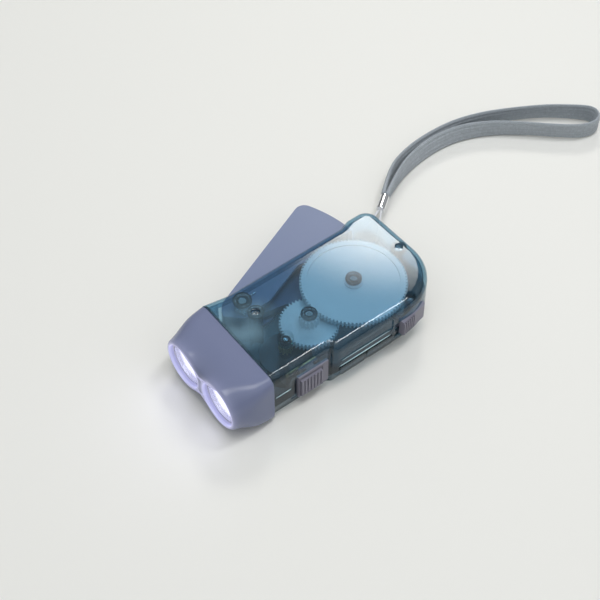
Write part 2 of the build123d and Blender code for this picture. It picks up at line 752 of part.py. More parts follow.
def big_gear():
    """The large gear: thin web, thicker toothed rim and the skirt over the clutch."""
    gear = gear_disc(big_teeth, gear_module, gear_low, gear_top, mid_axle_angle)
    web_reach = gear_module * big_teeth / 2 - big_rim_width
    gear -= tube(web_reach, drive_boss_radius + sector_module, gear_top - big_web_drop, gear_top + cut_over)
    skirt_inner = clutch_radius() - sector_module + pin_play
    skirt_low = mid_gear_low - sector_module / 2
    gear += tube(clutch_radius() + skirt_wall, skirt_inner, skirt_low, gear_low)
    return gear - rod(drive_axle_radius + pin_play, 0, case_height)


def mid_gear():
    """The middle gear and the small pinion that the large gear drives, one moulding."""
    pinion = gear_disc(mid_pinion_teeth, gear_module, mid_gear_low + mid_gear_thick,
                       ceiling - top_boss_drop - part_gap,
                       mid_axle_angle + 180 + 180 / mid_pinion_teeth, pinion_flank_steps)
    wheel = gear_disc(mid_teeth, gear_module, mid_gear_low, mid_gear_low + mid_gear_thick, rotor_angle)
    hub = rod(mid_boss_radius, mid_boss_top + part_gap, mid_gear_low)
    gear = Pos(mid_x, mid_y, 0) * (pinion + wheel + hub)
    return gear - rod(mid_axle_radius + pin_play, 0, case_height, mid_x, mid_y)


def rotor_pinion():
    """The pinion on the rotor shaft."""
    pinion = gear_disc(rotor_pinion_teeth, gear_module, flywheel_hub_top, rotor_pinion_top,
                       rotor_angle + 180 + 180 / rotor_pinion_teeth, pinion_flank_steps)
    return Pos(rotor_x, rotor_y, 0) * pinion - rotor_bore()


def rotor_bore():
    """The hole for the shaft in each piece that is pressed on it."""
    return rod(rotor_shaft_radius + seat_gap, 0, case_height, rotor_x, rotor_y)


def flywheel():
    """The steel disc over the ring magnet, with its hub."""
    disc = rod(rotor_reach, flywheel_low, flywheel_low + flywheel_thick, rotor_x, rotor_y)
    disc += rod(flywheel_hub_radius, flywheel_low, flywheel_hub_top, rotor_x, rotor_y)
    return disc - rotor_bore()


def claw_disc(lower):
    """One of the two pressed steel claw plates of the stator, its claws bent along the coil."""
    plate_low = stator_low if lower else stator_low + claw_thick + bobbin_height
    disc = rod(claw_disc_radius - claw_thick, plate_low, plate_low + claw_thick)
    claw_low = plate_low if lower else plate_low + claw_thick - claw_overlap
    claw = block((claw_disc_radius - 2 * claw_thick, claw_disc_radius), (-claw_width / 2, claw_width / 2),
                 (claw_low, claw_low + claw_overlap))
    claws = [Rot(0, 0, (number + (0 if lower else 0.5)) * 360 / claw_count) * claw
             for number in range(claw_count)]
    trimmed = Compound(children=claws) & tube(claw_disc_radius, claw_disc_radius - claw_thick, 0, case_height)
    arms = Compound(children=claws) & rod(claw_disc_radius, plate_low, plate_low + claw_thick)
    plate = disc + trimmed + arms - rod(shaft_hole, 0, case_height)
    return Pos(rotor_x, rotor_y, 0) * plate


def coil_bobbin():
    """The nylon reel of the coil."""
    low = stator_low + claw_thick
    high = low + bobbin_height
    reel = rod(bobbin_core_radius, low, high, rotor_x, rotor_y)
    for level in (low, high - bobbin_flange):
        reel += rod(bobbin_flange_radius, level, level + bobbin_flange, rotor_x, rotor_y)
    return reel - rod(shaft_hole, 0, case_height, rotor_x, rotor_y)


def coil_winding():
    """The enamelled copper coil, as its outer form."""
    low = stator_low + claw_thick + bobbin_flange
    return tube(coil_radius, bobbin_core_radius, low, low + bobbin_height - 2 * bobbin_flange,
                rotor_x, rotor_y)


def head_face(section, inset):
    """One outline of the head, standing across X, drawn in by an inset."""
    ahead, in_far, in_near, in_low, in_high, corner = section
    side_far, side_near = in_far - far_front, switch_side - in_near
    low, high = in_low, case_height - in_high
    plane = Plane(origin=(case_front + ahead, (side_far + side_near) / 2, (low + high) / 2),
                  x_dir=(0, 1, 0), z_dir=(1, 0, 0))
    outline = RectangleRounded(side_near - side_far - 2 * inset, high - low - 2 * inset, corner - inset)
    return plane * outline


def waist_grooves():
    """The two hollows, above and below, that pinch the front between the lamps and run out backwards."""
    grooves = []
    for sign, edge in ((1, case_height), (-1, 0)):
        bottom = lamp_height + sign * (waist_height - lamp_height)
        tilt = degrees(atan2(abs(edge - bottom), waist_run))
        grooves.append(Pos(head_front + waist_radius * sin(radians(tilt)), lobe_mid,
                           bottom + sign * waist_radius * cos(radians(tilt)))
                       * Rot(0, sign * tilt - 90, 0) * Cylinder(waist_radius, 2 * head_length))
    return grooves


def head_cap():
    """The opaque head: hollow behind, bored through for the two lamps."""
    head = loft([head_face(section, 0) for section in head_sections])
    for groove in waist_grooves():
        head -= groove
    head -= loft([head_face(section, head_wall) for section in head_sections[:2]])
    head -= soft_block((case_front - cut_over, case_front + spigot_length + part_gap),
                       (-far_front + spigot_inset - part_gap, switch_side - spigot_inset + part_gap),
                       (spigot_inset - part_gap, case_height - spigot_inset + part_gap), head_collar_corner)
    for side in lamp_sides.values():
        head -= lying_rod(lamp_bore, board_front + part_gap, head_front + cut_over, side, lamp_height)
    return head


def reflector(side):
    """A silvered bowl from the lamp to the lens, open at its throat."""
    reach = lamp_bore - lamp_play / 2
    half_way = reach * reflector_bend_reach
    bend = ThreePointArc((0, reflector_throat), (reflector_length * reflector_bend_at, half_way),
                         (reflector_length, reach - reflector_skin))
    outer_bend = ThreePointArc((reflector_length, reach),
                               (reflector_length * reflector_back_at, half_way + reflector_skin),
                               (0, reflector_throat + reflector_skin))
    outline = Wire([bend.edge(), Line(bend @ 1, outer_bend @ 0).edge(), outer_bend.edge(),
                    Line(outer_bend @ 1, bend @ 0).edge()])
    bowl = revolve(make_face(outline), Axis.X)
    return Pos(reflector_back, side, lamp_height) * bowl


def led(side):
    """A round lamp: flange, body and dome."""
    lamp = lying_rod(led_flange_radius, board_front, board_front + led_flange_thick, side, lamp_height)
    dome_at = board_front + led_body_length
    lamp += lying_rod(led_radius, board_front, dome_at, side, lamp_height)
    return lamp + Pos(dome_at, side, lamp_height) * Sphere(led_radius)


def led_board():
    """The board across the head that carries both lamps."""
    return block((board_rear, board_front), (-far_front + board_margin, switch_side - board_margin),
                 (board_margin, case_height - board_margin))


def storage_cell():
    """The round cell soldered to the back of the board."""
    return lying_rod(cell_radius, board_rear - cell_thick, board_rear, lobe_mid, lamp_height)


def rectifier():
    """The bridge on the back of the board."""
    deep, wide, high = rectifier_size
    near = lobe_mid + rectifier_side
    return block((board_rear - deep, board_rear), (near - wide, near),
                 (lamp_height - high / 2, lamp_height + high / 2))


def ribbed(start, count, pitch, width, y_span, z_span):
    """A row of upright ribs along X."""
    ribs = [block((start + n * pitch, start + n * pitch + width), y_span, z_span) for n in range(count)]
    return Compound(children=ribs)


def switch_slider():
    """The light switch: framed plate, raised ribbed block, stem and inner carrier."""
    long, high = switch_plate
    rear = switch_rest_rear
    back = switch_side - switch_pocket_depth + seat_gap
    front = back + switch_plate_thick
    body = block((rear, rear + long), (back, front), (switch_plate_low, switch_plate_low + high))
    wide, tall = switch_rib_block
    block_rear = rear + long - wide - switch_frame
    block_low = switch_plate_low + switch_frame
    body -= block((block_rear - switch_frame, block_rear + wide + switch_frame / 2),
                  (front - switch_groove, front + cut_over),
                  (block_low - switch_frame / 2, block_low + tall + switch_frame))
    raised = front + switch_rib_rise
    body += block((block_rear, block_rear + wide), (back, raised), (block_low, block_low + tall))
    pitch = (wide - switch_rib_width) / (switch_rib_count - 1)
    body += ribbed(block_rear, switch_rib_count, pitch, switch_rib_width,
                   (back, raised + switch_rib_height), (block_low + switch_rib_width, block_low + tall))
    stem_rear = rear + (long - stem_length) / 2
    inner = switch_side - wall - switch_pad - part_gap
    body += block((stem_rear, stem_rear + stem_length), (inner - carrier_thick, back), (stem_low, stem_high))
    carrier_rear = stem_rear + (stem_length - carrier_length) / 2
    body += block((carrier_rear, carrier_rear + carrier_length), (inner - carrier_thick, inner),
                  (stem_low, stem_high))
    return body


def carrier_face():
    """Y of the inner face of the light switch's carrier."""
    return switch_side - wall - switch_pad - part_gap - carrier_thick


def switch_board_near():
    """Y of the contact side of the switch board."""
    return carrier_face() - 2 * contact_thick - seat_gap


def switch_board_rear():
    """X of the rear end of the switch board."""
    return switch_rest_rear + switch_travel


def slide_contact():
    """The brass bridge on the carrier."""
    mid = switch_rest_rear + switch_plate[0] / 2
    return block((mid - contact_length / 2, mid + contact_length / 2),
                 (carrier_face() - contact_thick, carrier_face()), (stem_low, stem_high))


def switch_board():
    """The strip of board that holds the fixed contacts."""
    near = switch_board_near()
    return block((switch_board_rear(), switch_board_rear() + switch_board_length),
                 (near - switch_board_thick, near), (stem_low, stem_high))


def switch_contacts():
    """The two brass contacts on the switch board."""
    near = switch_board_near()
    rear = switch_board_rear()
    half = (switch_board_length - part_gap) / 2
    strips = []
    for start in (rear, rear + half + carrier_thick):
        strips.append(block((start, start + half - carrier_thick), (near, near + contact_thick),
                            (stem_low, stem_high)))
    return Compound(children=strips)


def lock_slider():
    """The lever lock: ribbed button, stem and the bar that reaches towards the lever's tip."""
    long, high = lock_plate
    front_x = lock_rest_front
    back = -lock_pocket_depth + seat_gap
    face = back + lock_plate_thick
    body = block((front_x - long, front_x), (back, face), (lock_low, lock_low + high))
    rear_edge = body.edges().filter_by(Axis.Z).group_by(Axis.Y)[-1].group_by(Axis.X)[0]
    body = fillet(rear_edge, lock_plate_thick / 2)
    pitch = (lock_rib_run - lock_rib_width) / (lock_rib_count - 1)
    body += ribbed(front_x - lock_rib_run, lock_rib_count, pitch, lock_rib_width,
                   (back, face + lock_rib_height),
                   (lock_low + lock_rib_width, lock_low + high - lock_rib_width))
    stem = (front_x - lock_stem_back, front_x - lock_stem_back + lock_stem_length)
    inner = -lock_pocket_depth - lock_floor - part_gap
    body += block(stem, (-lock_bar_reach, back), (lock_stem_high - lock_bar_thick, lock_stem_high))
    body += block(stem, (inner - lock_bar_thick, inner), (lock_stem_low - lock_bar_thick, lock_stem_high))
    body += block(stem, (inner - lock_bar_thick, back), (lock_stem_low, lock_stem_high))
    return lock_frame() * body


def wire_tube(points, radius):
    """A wire along straight runs joined by arcs."""
    path = FilletPolyline(*points, radius=route_radii(points))
    ring = Plane(origin=path @ 0, z_dir=path % 0) * Circle(radius)
    return sweep(ring, path=path)


def route_radii(points):
    """The radius at each inner point: a share of the shorter run over the tangent of half the turn."""
    radii = []
    for before, here, after in zip(points, points[1:], points[2:]):
        run_in, run_out = Vector(*here) - Vector(*before), Vector(*after) - Vector(*here)
        half_turn = radians(run_in.get_angle(run_out)) / 2
        radii.append(bend_share * min(run_in.length, run_out.length) / tan(half_turn))
    return radii


def coil_wires():
    """Two wires from under the stator to the board in the head."""
    wires = []
    floor_run = wall + wire_radius + seat_gap
    for number in range(2):
        y = rotor_y - 2 * wire_pitch + number * wire_pitch
        points = [(rotor_x + claw_disc_radius - wire_pitch, y, floor_run),
                  (case_front - 2 * wall, y, floor_run),
                  (case_front, y, wire_rise), (board_rear, y, wire_rise)]
        wires.append(wire_tube(points, wire_radius))
    return Compound(children=wires)


def switch_wires():
    """Two wires from the switch board to the board in the head."""
    wires = []
    end_x = switch_board_rear() + switch_board_length
    for number in range(2):
        z = stem_low + wire_radius + number * wire_pitch
        y = switch_board_near() - switch_board_thick - wire_radius - seat_gap
        points = [(end_x - wire_pitch, y, z), (end_x, y, z), (case_front, y - 2 * wire_pitch, z),
                  (board_rear, y - 2 * wire_pitch, z)]
        wires.append(wire_tube(points, wire_radius))
    return Compound(children=wires)


def strap_string():
    """The thin string: out of the crimp, through the two eyelets of the tail and back."""
    return wire_tube(string_route, string_radius)


def strap_crimp():
    """The bright metal barrel that grips the string and both ends of the webbing."""
    along = Plane(origin=(*crimp_tail, crimp_height),
                  z_dir=(-cos(radians(crimp_turn)), -sin(radians(crimp_turn)), 0))
    barrel = along * Cylinder(crimp_radius, crimp_length, align=(Align.CENTER, Align.CENTER, Align.MIN))
    return fillet(barrel.edges().filter_by(GeomType.CIRCLE), crimp_soft)


def strap_webbing():
    """The flat webbing, standing on its edge, folded in one long loop."""
    path = FilletPolyline(*tape_route, radius=route_radii([(x, y, 0) for x, y in tape_route]))
    ribbon = trace(path, line_width=tape_thick)
    return Pos(0, 0, tape_lift) * extrude(ribbon, tape_width, dir=(0, 0, 1))


def shaft_pins():
    """Steel pins of the lever, the large gear and the middle gear, and the rotor shaft."""
    low, high = wall - pin_seat + seat_gap, ceiling + pin_seat - seat_gap
    return {
        "lever_pin": rod(lever_pin_radius, low, high, pivot_x, pivot_y),
        "drive_axle": rod(drive_axle_radius, low, high),
        "mid_axle": rod(mid_axle_radius, low, high, mid_x, mid_y),
        "rotor_shaft": rod(rotor_shaft_radius, wall + seat_gap, rotor_shaft_top, rotor_x, rotor_y),
    }


def rotor_bush(low):
    """A small bronze bush."""
    return tube(bush_radius, rotor_shaft_radius + pin_play, low, low + bush_length, rotor_x, rotor_y)


def lens(side):
    """A clear disc in front of a reflector."""
    return lying_rod(lamp_bore - lamp_play / 2, lens_back, lens_front, side, lamp_height)


outer_form = case_solid(0.0)
walls = case_walls(outer_form)
parts = {
    "upper_shell": upper_shell(walls),
    "lower_shell": lower_shell(walls, outer_form),
    "head_cap": head_cap(),
    "case_screws": case_screws(),
    "led_board": led_board(),
    "storage_cell": storage_cell(),
    "rectifier": rectifier(),
    "squeeze_lever": squeeze_lever(),
    "lever_spring": lever_spring(),
    "drive_pinion": drive_pinion(),
    "clutch_dog": clutch_dog(),
    "clutch_spring": clutch_spring(),
    "big_gear": big_gear(),
    "mid_gear": mid_gear(),
    "rotor_pinion": rotor_pinion(),
    "flywheel": flywheel(),
    "ring_magnet": tube(magnet_inner + magnet_wall, magnet_inner, magnet_low, flywheel_low, rotor_x, rotor_y),
    "stator_claw_lower": claw_disc(True),
    "stator_claw_upper": claw_disc(False),
    "coil_bobbin": coil_bobbin(),
    "coil_winding": coil_winding(),
    "rotor_bush_lower": rotor_bush(wall + seat_gap),
    "rotor_bush_upper": rotor_bush(rotor_top_post_low),
    "switch_slider": switch_slider(),
    "slide_contact": slide_contact(),
    "switch_board": switch_board(),
    "switch_contacts": switch_contacts(),
    "lock_slider": lock_slider(),
    "coil_wires": coil_wires(),
    "switch_wires": switch_wires(),
    "strap_string": strap_string(),
    "strap_crimp": strap_crimp(),
    "strap_webbing": strap_webbing(),
}
parts.update(shaft_pins())
for side_name, side_y in lamp_sides.items():
    parts["lens_" + side_name] = lens(side_y)
    parts["reflector_" + side_name] = reflector(side_y)
    parts["led_" + side_name] = led(side_y)

for name, shape in parts.items():
    export_step(shape, "parts/" + name + ".step")

tape_radii = route_radii([(x, y, 0) for x, y in tape_route])
print("webbing radii", [round(r, 1) for r in tape_radii])
print("string radii", [round(r, 1) for r in route_radii(string_route)])
print("spring gap between turns", round(spring_pitch - spring_wire, 2))
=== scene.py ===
"""A squeeze-lever dynamo torch with a clear tinted case, lit and lying on a pale table.

Metres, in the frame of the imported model: +X out of the lamps, +Y the slider side, -Y the lever side.
"""
import bmesh
import bpy
import numpy as np
from mathutils import Matrix


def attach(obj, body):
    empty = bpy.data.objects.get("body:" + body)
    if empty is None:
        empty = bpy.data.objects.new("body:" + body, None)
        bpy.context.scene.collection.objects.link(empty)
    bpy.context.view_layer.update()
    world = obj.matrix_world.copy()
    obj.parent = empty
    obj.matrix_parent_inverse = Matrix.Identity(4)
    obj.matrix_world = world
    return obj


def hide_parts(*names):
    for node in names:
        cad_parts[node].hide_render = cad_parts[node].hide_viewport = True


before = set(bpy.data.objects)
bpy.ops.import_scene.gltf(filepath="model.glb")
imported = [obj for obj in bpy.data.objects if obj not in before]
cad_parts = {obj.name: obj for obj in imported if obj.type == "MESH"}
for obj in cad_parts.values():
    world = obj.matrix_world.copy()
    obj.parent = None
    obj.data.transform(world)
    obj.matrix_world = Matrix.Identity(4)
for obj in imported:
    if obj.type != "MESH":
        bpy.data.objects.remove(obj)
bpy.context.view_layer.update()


# Camera: a short telephoto held above the slider side, in front of the lamps, looking down on the torch
# at about fifty degrees.
camera_place = (0.2608, 0.3051, 0.5283)
right, up, back = (-0.794, 0.607, 0.0), (-0.480, -0.628, 0.613), (0.372, 0.487, 0.790)
lens_of_camera = bpy.data.cameras.new("camera")
lens_of_camera.lens, lens_of_camera.sensor_width = 94.1, 36.0
lens_of_camera.clip_start, lens_of_camera.clip_end = 0.01, 20.0
camera = bpy.data.objects.new("camera", lens_of_camera)
turned = Matrix((right, up, back)).transposed().to_4x4()
camera.matrix_world = Matrix.Translation(camera_place) @ turned
bpy.context.collection.objects.link(camera)
bpy.context.scene.camera = camera
bpy.context.scene.view_settings.view_transform = "Standard"


# Table and light: a smooth off-white table top under a bright ceiling. A window behind the tail mirrors
# in the tail of the case, and a ceiling panel draws the thin bright lines along the case's near edges.
def set_sockets(node, **values):
    """Gives a node's sockets their values. A socket's name is written with _ for each space."""
    for socket, value in values.items():
        node.inputs[socket.replace("_", " ")].default_value = value
    return node


def add_node(tree, kind, settings=(), **values):
    """A new shader node of a kind, with its own settings and its sockets' values."""
    node = tree.nodes.new("ShaderNode" + kind)
    for setting, choice in dict(settings).items():
        setattr(node, setting, choice)
    return set_sockets(node, **values)


def join(tree, *links):
    """Links shader nodes. Each link names a node, its output, the node that it enters and its input."""
    for source, leaves, target, enters in links:
        tree.links.new(source.outputs[leaves], target.inputs[enters])


def surface(name, color, roughness, **sockets):
    """A material with one Principled shader, its even values set on the shader's own sockets."""
    material = bpy.data.materials.new(name)
    material.use_nodes = True
    shader = material.node_tree.nodes["Principled BSDF"]
    set_sockets(shader, Base_Color=(*color, 1.0), Roughness=roughness, **sockets)
    return material, material.node_tree, shader


table_reach = 3.0
table_top, tree, shader = surface("table_top", (0.80, 0.80, 0.77), 0.55, Specular_IOR_Level=0.25)
speckle = add_node(tree, "TexNoise", Scale=6.0)
tint = add_node(tree, "Mix", {"data_type": "RGBA"}, A=(0.79, 0.79, 0.76, 1), B=(0.81, 0.81, 0.78, 1))
join(tree, (speckle, "Fac", tint, "Factor"), (tint, "Result", shader, "Base Color"))
table_mesh = bpy.data.meshes.new("table")
corners = np.array([(-1, -1, 0), (1, -1, 0), (1, 1, 0), (-1, 1, 0)]) * table_reach
table_mesh.from_pydata(corners.tolist(), [], [(0, 1, 2, 3)])
table_mesh.materials.append(table_top)
table = bpy.data.objects.new("table", table_mesh)
bpy.context.collection.objects.link(table)


def soft_lamp(name, place, width, depth, watts, color, full):
    """A rectangular lamp at a place, facing the torch. Its light is even up to the share full of its size
    from its middle, and thins out to nothing at its edge."""
    lamp = bpy.data.lights.new(name, "AREA")
    lamp.shape, lamp.size, lamp.size_y = "RECTANGLE", width, depth
    lamp.energy, lamp.color = watts, color
    lamp.use_nodes = True
    tree = lamp.node_tree
    spot = add_node(tree, "NewGeometry")
    span = add_node(tree, "VectorMath", {"operation": "DISTANCE"})
    span.inputs[1].default_value = (0.5, 0.5, 0.0)
    fade = add_node(tree, "MapRange", {"interpolation_type": "SMOOTHSTEP"}, From_Min=0.50, From_Max=full)
    join(tree, (spot, "Parametric", span, 0), (span, "Value", fade, "Value"),
         (fade, "Result", tree.nodes["Emission"], "Strength"))
    holder = bpy.data.objects.new(name, lamp)
    z = np.array(place) / np.linalg.norm(place)
    x = np.cross((0, 0, 1), z)
    x = x / np.linalg.norm(x)
    y = np.cross(z, x)
    holder.matrix_world = Matrix.Translation(place) @ Matrix((x, y, z)).transposed().to_4x4()
    bpy.context.collection.objects.link(holder)


soft_lamp("tail_window", (-0.605, -0.647, 0.90), width=0.42, depth=0.35, watts=6.3,
          color=(0.98, 0.96, 0.91), full=0.26)
soft_lamp("ceiling_panel", (-0.36, 0.10, 0.90), width=0.18, depth=0.28, watts=3.4,
          color=(0.97, 0.98, 1.0), full=0.30)
soft_lamp("ceiling_light", (0.05, 0.10, 1.25), width=0.66, depth=0.66, watts=7.0,
          color=(1.0, 0.99, 0.96), full=0.35)

# The room is brightest overhead and dim towards the wall round the window, which the case's top mirrors.
wall_direction = (-0.372, -0.487, 0.790)
room = bpy.data.worlds.new("room")
bpy.context.scene.world = room
room.use_nodes = True
tree = room.node_tree
light = set_sockets(tree.nodes["Background"], Color=(0.96, 0.98, 1.0, 1))
toward = add_node(tree, "TexCoord")
height = add_node(tree, "SeparateXYZ")
overhead = add_node(tree, "MapRange", To_Min=0.05, To_Max=1.0)
wall = add_node(tree, "VectorMath", {"operation": "DOT_PRODUCT"})
wall.inputs[1].default_value = wall_direction
dim = add_node(tree, "MapRange", {"interpolation_type": "SMOOTHSTEP"},
               From_Min=0.55, From_Max=0.95, To_Min=1.0, To_Max=0.30)
level = add_node(tree, "Math", {"operation": "MULTIPLY"})
seen = add_node(tree, "Background", Color=(1, 1, 1, 1))
choice = add_node(tree, "MixShader")
rays = add_node(tree, "LightPath")
join(tree, (toward, "Generated", height, "Vector"), (toward, "Generated", wall, 0),
     (height, "Z", overhead, "Value"), (wall, "Value", dim, "Value"),
     (overhead, "Result", level, 0), (dim, "Result", level, 1), (level, "Value", light, "Strength"),
     (rays, "Is Camera Ray", choice, "Fac"), (light, "Background", choice, 1),
     (seen, "Background", choice, 2), (choice, "Shader", tree.nodes["World Output"], "Surface"))


# Wrist strap: flat polyester webbing ten millimetres wide, standing on its edge, folded in one long loop
# whose two ends are pinched together in the crimp.
def route_line(name, points, radius):
    """A smooth curve with the route's points, in metres, as its control points."""
    curve = bpy.data.curves.new(name, "CURVE")
    curve.dimensions = "3D"
    curve.resolution_u = 12
    curve.bevel_depth = radius
    spline = curve.splines.new("NURBS")
    spline.points.add(len(points) - 1)
    for point, place in zip(spline.points, points):
        point.co = (*place, 1.0)
    spline.order_u = 3
    spline.use_endpoint_u = True
    line = bpy.data.objects.new(name, curve)
    bpy.context.collection.objects.link(line)
    return line


def read_points(mesh):
    """The places of a mesh's points, as an array of shape (n, 3)."""
    spots = np.empty(3 * len(mesh.vertices))
    mesh.vertices.foreach_get("co", spots)
    return spots.reshape(-1, 3)


def line_points(line):
    """The points that Blender gives for an unbevelled curve, as an array."""
    graph = bpy.context.evaluated_depsgraph_get()
    mesh = bpy.data.meshes.new_from_object(line.evaluated_get(graph))
    spots = read_points(mesh)
    bpy.data.meshes.remove(mesh)
    return spots


def grid_piece(name, grid, material, along=False, caps=False):
    """A mesh on a grid of points, shape (n, m, 3), closed around its second axis, and along its first if
    along is true. caps closes both ends. Its UV map runs 0 to 1 along and around."""
    n, m = grid.shape[:2]
    i, j = np.meshgrid(np.arange(n if along else n - 1), np.arange(m), indexing="ij")
    i2, j2 = (i + 1) % n, (j + 1) % m
    quads = np.stack([i * m + j, i2 * m + j, i2 * m + j2, i * m + j2], -1).reshape(-1, 4)
    faces = quads.tolist()
    if caps:
        faces += [list(range(m)), list(range((n - 1) * m, n * m))[::-1]]
    mesh = bpy.data.meshes.new(name)
    mesh.from_pydata(grid.reshape(-1, 3), [], faces)
    mesh.shade_smooth()
    share_along = np.stack([i, i + 1, i + 1, i], -1) / n
    share_around = np.stack([j, j, j + 1, j + 1], -1) / m
    flat = np.stack([share_along, share_around], -1).reshape(-1, 2)
    uv = np.zeros((len(mesh.loops), 2))
    uv[:len(flat)] = flat
    mesh.uv_layers.new(name="UVMap").data.foreach_set("uv", uv.ravel())
    mesh.materials.append(material)
    piece = bpy.data.objects.new(name, mesh)
    bpy.context.collection.objects.link(piece)
    return piece


# The cloth is a fine plain weave: short threads in rows across the tape, each a little raised. The darker
# mortar between the threads is painted shade in the gaps of the weave.
threads_along, threads_around = 330.0, 22.0
webbing_cloth, tree, shader = surface("webbing_cloth", (0.30, 0.33, 0.37), 0.75, Sheen_Weight=0.35,
                                      Sheen_Roughness=0.4, Specular_IOR_Level=0.35)
place = add_node(tree, "TexCoord")
spread = add_node(tree, "Mapping", Scale=(threads_along, threads_around, 1.0))
weave = add_node(tree, "TexBrick", Scale=1.0, Mortar_Size=0.08, Mortar_Smooth=0.9, Brick_Width=1.0,
                 Row_Height=1.0, Color1=(0.43, 0.475, 0.52, 1), Color2=(0.37, 0.41, 0.45, 1),
                 Mortar=(0.27, 0.30, 0.33, 1))
relief = add_node(tree, "Bump", {"invert": True}, Distance=0.0002, Strength=0.7)
join(tree, (place, "UV", spread, "Vector"), (spread, "Vector", weave, "Vector"),
     (weave, "Color", shader, "Base Color"), (weave, "Fac", relief, "Height"),
     (relief, "Normal", shader, "Normal"))

strap_route = [(-0.05134, -0.03983), (-0.0605, -0.0452), (-0.0740, -0.0502), (-0.0890, -0.0520),
               (-0.1030, -0.0503), (-0.1170, -0.0436), (-0.1295, -0.0333), (-0.1405, -0.0228),
               (-0.1495, -0.0156), (-0.1580, -0.0150), (-0.1606, -0.0214), (-0.1538, -0.0284),
               (-0.1430, -0.0372), (-0.1300, -0.0446), (-0.1170, -0.0506), (-0.1025, -0.0544),
               (-0.0875, -0.0550), (-0.0725, -0.0534), (-0.0605, -0.0496), (-0.05034, -0.04123)]
tape_width, tape_thick, tape_middle = 0.0100, 0.0017, 0.0054
tape_rows, tape_columns, cord_count = 360, 64, 5
guide = route_line("strap_guide", [(x, y, tape_middle) for x, y in strap_route], 0.0)
line = line_points(guide)
bpy.data.objects.remove(guide)
runs = np.linalg.norm(np.diff(line, axis=0), axis=1)
reached = np.concatenate([[0], np.cumsum(runs)])
steps = np.linspace(0, reached[-1], tape_rows)
line = np.stack([np.interp(steps, reached, line[:, k]) for k in range(3)], -1)
ahead = np.gradient(line, axis=0)
ahead /= np.linalg.norm(ahead, axis=1)[:, None]
# The tape's section is a flat oval with lengthwise cords. Over the pinch at both ends it narrows and
# thickens to the crimp, and between its stiff runs it leans to one side and the other, twice over.
pinch, pinched_share, pinched_fullness = 0.020, 0.40, 1.25
stiff_run, most_lean = 0.030, 0.16
turn = np.linspace(0, 2 * np.pi, tape_columns, endpoint=False)
across = np.sign(np.sin(turn)) * np.abs(np.sin(turn)) ** 0.75
cords = 0.82 + 0.18 * np.cos(across * cord_count * np.pi)
thick = np.sign(np.cos(turn)) * np.abs(np.cos(turn)) ** 0.55 * cords
from_end = np.minimum(steps, steps[-1] - steps)
opened = np.clip(from_end / pinch, 0, 1)
width = tape_width * (pinched_share + (1 - pinched_share) * opened ** 0.6)
fullness = tape_thick * (pinched_fullness - (pinched_fullness - 1) * opened)
lean = most_lean * np.sin(steps / steps[-1] * 4 * np.pi) * np.clip(from_end / stiff_run, 0, 1)
side = np.stack([-ahead[:, 1], ahead[:, 0], np.zeros(len(line))], -1)
upright = np.array([[0.0, 0.0, 1.0]])
upward = upright * np.cos(lean)[:, None] + side * np.sin(lean)[:, None]
outward = side * np.cos(lean)[:, None] - upright * np.sin(lean)[:, None]
rows = (line[:, None] + upward[:, None] * (width[:, None] / 2 * across[None])[..., None]
        + outward[:, None] * (fullness[:, None] / 2 * thick[None])[..., None])
webbing = grid_piece("webbing_loop", rows, webbing_cloth, caps=True)
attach(webbing, "housing")
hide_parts("strap_webbing")


# The crimp: a short barrel of bright plated sheet metal, rolled round the webbing's two ends and the string
# and squeezed shut.
def dress(material, *names):
    """Gives solids of the frame one material in place of their own."""
    for name in names:
        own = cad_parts[name].data.materials
        own.clear()
        own.append(material)


plated, tree, shader = surface("plated", (0.80, 0.81, 0.83), 0.14, Metallic=1.0)
scuff = add_node(tree, "TexNoise", Scale=900.0)
levels = add_node(tree, "MapRange", To_Min=0.08, To_Max=0.26)
join(tree, (scuff, "Fac", levels, "Value"), (levels, "Result", shader, "Roughness"))
dress(plated, "strap_crimp")


# The string: a thin twisted cord of pale fibre. It runs from the crimp through two holes in the tail of the
# case and back to the crimp.
string_thick = 0.001
string_route = [(-0.0442, -0.0348, 0.0059), (-0.0375, -0.0286, 0.0074), (-0.0316, -0.0226, 0.0090),
                (-0.0264, -0.0190, 0.0090), (-0.0226, -0.0230, 0.0090), (-0.0272, -0.0286, 0.0090),
                (-0.0350, -0.0316, 0.0074), (-0.0435, -0.0359, 0.0054)]
string_twist, tree, shader = surface("string_twist", (0.72, 0.74, 0.78), 0.6, Sheen_Weight=0.2)
place = add_node(tree, "TexCoord")
plies = add_node(tree, "TexWave", {"wave_profile": "SIN"}, Scale=420.0)
relief = add_node(tree, "Bump", Distance=0.0001)
join(tree, (place, "Object", plies, "Vector"), (plies, "Fac", relief, "Height"),
     (relief, "Normal", shader, "Normal"))
string = route_line("tail_string", string_route, string_thick / 2)
string.data.bevel_resolution = 4
string.data.use_fill_caps = True
string.data.materials.append(string_twist)
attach(string, "housing")
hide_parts("strap_string")


# Case: two shells of clear styrene tinted smoky blue, moulded with a high gloss and held by three screws.
# Each wall darkens what is seen through it, most along its edges, where the eye looks through more plastic.
# The lower shell is the deeper in tint, and the top is hazier and lighter in three patches. The patch over
# the large gear is a painted reflection, standing in for the window's soft sheen in the tail.
def bare_material(name):
    """A material with no shader yet, and its tree."""
    material = bpy.data.materials.new(name)
    material.use_nodes = True
    tree = material.node_tree
    tree.nodes.remove(tree.nodes["Principled BSDF"])
    return material, tree


